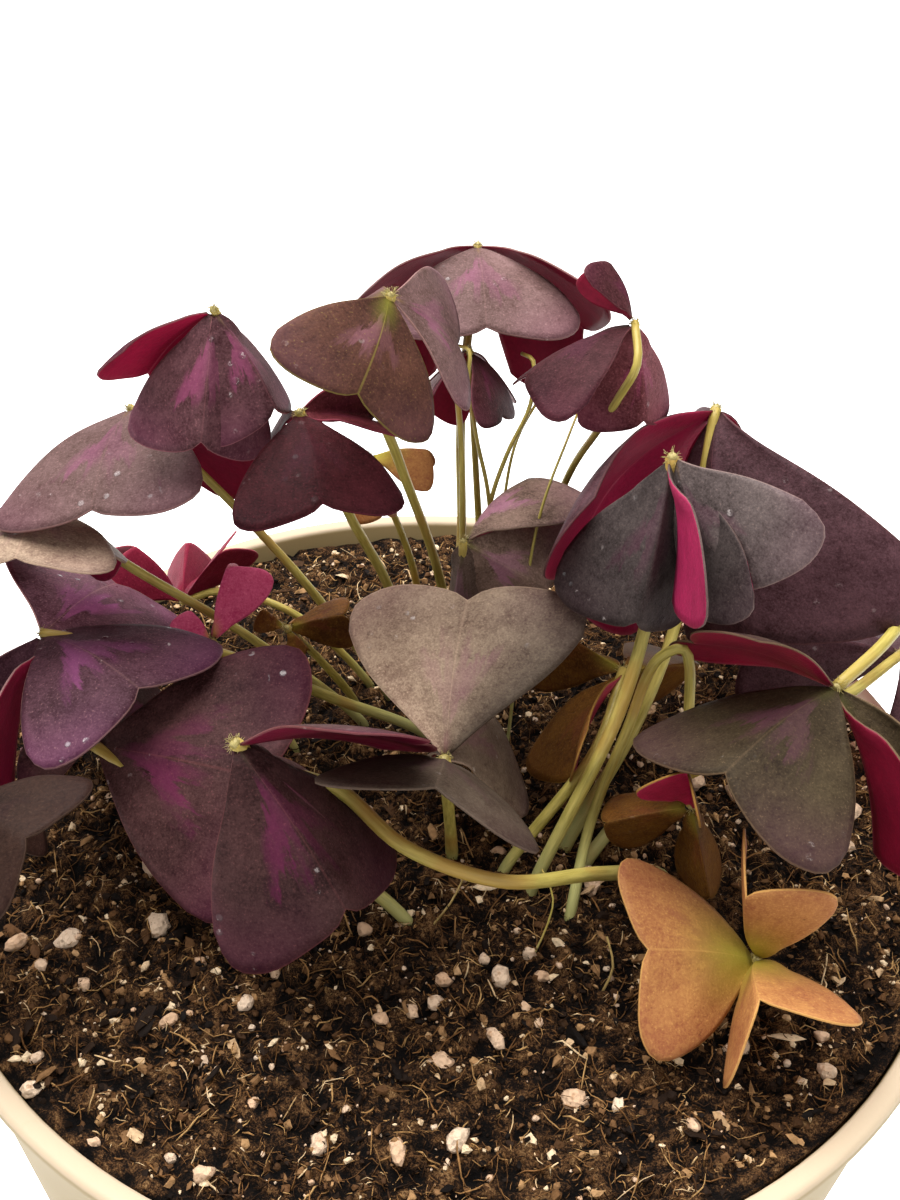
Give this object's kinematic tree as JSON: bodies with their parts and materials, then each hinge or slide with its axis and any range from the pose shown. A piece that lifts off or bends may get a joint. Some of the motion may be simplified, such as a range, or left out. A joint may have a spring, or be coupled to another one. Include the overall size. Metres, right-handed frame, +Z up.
{
  "type": "potted plant",
  "caption": "Purple shamrock with three-part folded leaves on thin stalks, growing from soil in a round tapered nursery pot.",
  "frame": {"origin": "centre of the pot's flat base", "axes": "+Z up along the pot's axis, -Y towards the plant's front, +X to its right"},
  "size_m": [0.2166, 0.2, 0.2663],
  "materials": {
    "pot": "cream-beige moulded plastic with a soft sheen",
    "soil": "dark brown potting soil with fibres and pale perlite",
    "stalk": "smooth yellow-green plant stalk",
    "leaf": "dark plum leaf with a satin upper face and crimson under face",
    "young_leaf": "young orange-brown leaf, satin"
  },
  "bodies": {
    "root": {"pot": "pot", "soil": "soil", "leaf_a_stalk": "stalk", "leaf_a_blades": "leaf", "leaf_b_stalk": "stalk", "leaf_b_blades": "young_leaf", "leaf_c_stalk": "stalk", "leaf_c_blades": "leaf", "leaf_d_stalk": "stalk", "leaf_d_blades": "leaf", "leaf_e_stalk": "stalk", "leaf_e_blades": "leaf", "leaf_f_stalk": "stalk", "leaf_f_blades": "leaf", "leaf_g_stalk": "stalk", "leaf_g_blades": "leaf", "leaf_h_stalk": "stalk", "leaf_h_blades": "leaf", "leaf_i_stalk": "stalk", "leaf_i_blades": "leaf", "leaf_j_stalk": "stalk", "leaf_j_blades": "leaf", "leaf_k_stalk": "stalk", "leaf_k_blades": "leaf", "leaf_l_stalk": "stalk", "leaf_l_blades": "leaf", "leaf_m_stalk": "stalk", "leaf_m_blades": "leaf", "leaf_n_stalk": "stalk", "leaf_n_blades": "leaf", "leaf_p_stalk": "stalk", "leaf_p_blades": "leaf", "leaf_q_stalk": "stalk", "leaf_q_blades": "leaf", "leaf_r_stalk": "stalk", "leaf_r_blades": "leaf", "leaf_s_stalk": "stalk", "leaf_s_blades": "young_leaf", "leaf_t_stalk": "stalk", "leaf_t_blades": "young_leaf", "leaf_u_stalk": "stalk", "leaf_u_blades": "leaf", "leaf_v_stalk": "stalk", "leaf_v_blades": "young_leaf", "leaf_w_stalk": "stalk", "leaf_w_blades": "leaf", "leaf_x_stalk": "stalk", "leaf_x_blades": "young_leaf", "leaf_y_stalk": "stalk", "leaf_y_blades": "young_leaf", "leaf_z_stalk": "stalk", "leaf_z_blades": "leaf"}
  },
  "joints": []
}
